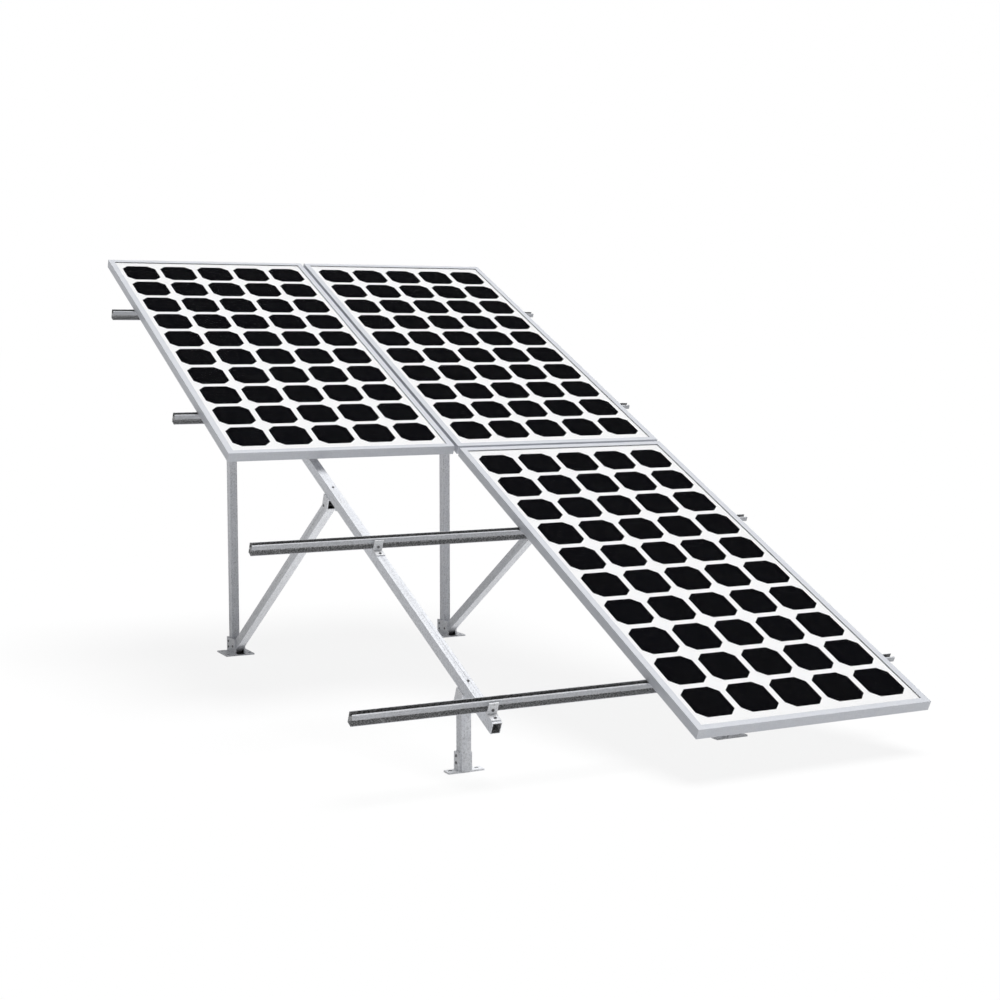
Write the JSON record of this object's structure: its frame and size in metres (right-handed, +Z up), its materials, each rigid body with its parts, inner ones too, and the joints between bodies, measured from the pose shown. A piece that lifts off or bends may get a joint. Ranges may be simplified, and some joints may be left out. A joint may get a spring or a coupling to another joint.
{
  "type": "solar panel mounting structure",
  "caption": "Ground mount for framed solar modules: sloping beams on legs and braces with slotted feet, cross rails with cleats, and modules bolted on, one place left open.",
  "frame": {"origin": "ground level, below the middle of the overall box", "axes": "+X along the rails, +Y uphill towards the rear legs, +Z up"},
  "size_m": [2.184, 3.6766, 1.8493],
  "materials": {
    "tube": "satin mill finish",
    "rail": "satin extruded",
    "feet": "satin",
    "brackets": "satin",
    "frame": "clear anodised",
    "glass": "clear",
    "cells": "dark blue black",
    "backsheet": "matt white",
    "junction_box": "matt black",
    "fasteners": "stainless"
  },
  "bodies": {
    "root": {"beam_left": "tube", "beam_right": "tube", "front_leg_left": "tube", "front_leg_right": "tube", "rear_leg_left": "tube", "rear_leg_right": "tube", "brace_left": "tube", "brace_right": "tube", "front_foot_left": "feet", "front_foot_right": "feet", "rear_foot_left": "feet", "rear_foot_right": "feet", "front_bracket_left": "brackets", "front_bracket_right": "brackets", "rear_bracket_left": "brackets", "rear_bracket_right": "brackets", "brace_bracket_left": "brackets", "brace_bracket_right": "brackets", "rail_1": "rail", "rail_2": "rail", "rail_3": "rail", "rail_4": "rail", "cleat_1_left": "brackets", "cleat_2_left": "brackets", "cleat_3_left": "brackets", "cleat_4_left": "brackets", "cleat_1_right": "brackets", "cleat_2_right": "brackets", "cleat_3_right": "brackets", "cleat_4_right": "brackets", "foot_bolts": "fasteners", "bracket_bolts": "fasteners", "beam_bolts": "fasteners", "cleat_bolts": "fasteners", "cleat_sleeves": "fasteners", "module_bolts": "fasteners", "upper_left_frame_left": "frame", "upper_left_frame_right": "frame", "upper_left_frame_top": "frame", "upper_left_frame_bottom": "frame", "upper_left_glass": "glass", "upper_left_cells": "cells", "upper_left_backsheet": "backsheet", "upper_left_junction_box": "junction_box", "upper_right_frame_left": "frame", "upper_right_frame_right": "frame", "upper_right_frame_top": "frame", "upper_right_frame_bottom": "frame", "upper_right_glass": "glass", "upper_right_cells": "cells", "upper_right_backsheet": "backsheet", "upper_right_junction_box": "junction_box", "lower_right_frame_left": "frame", "lower_right_frame_right": "frame", "lower_right_frame_top": "frame", "lower_right_frame_bottom": "frame", "lower_right_glass": "glass", "lower_right_cells": "cells", "lower_right_backsheet": "backsheet", "lower_right_junction_box": "junction_box"}
  },
  "joints": []
}
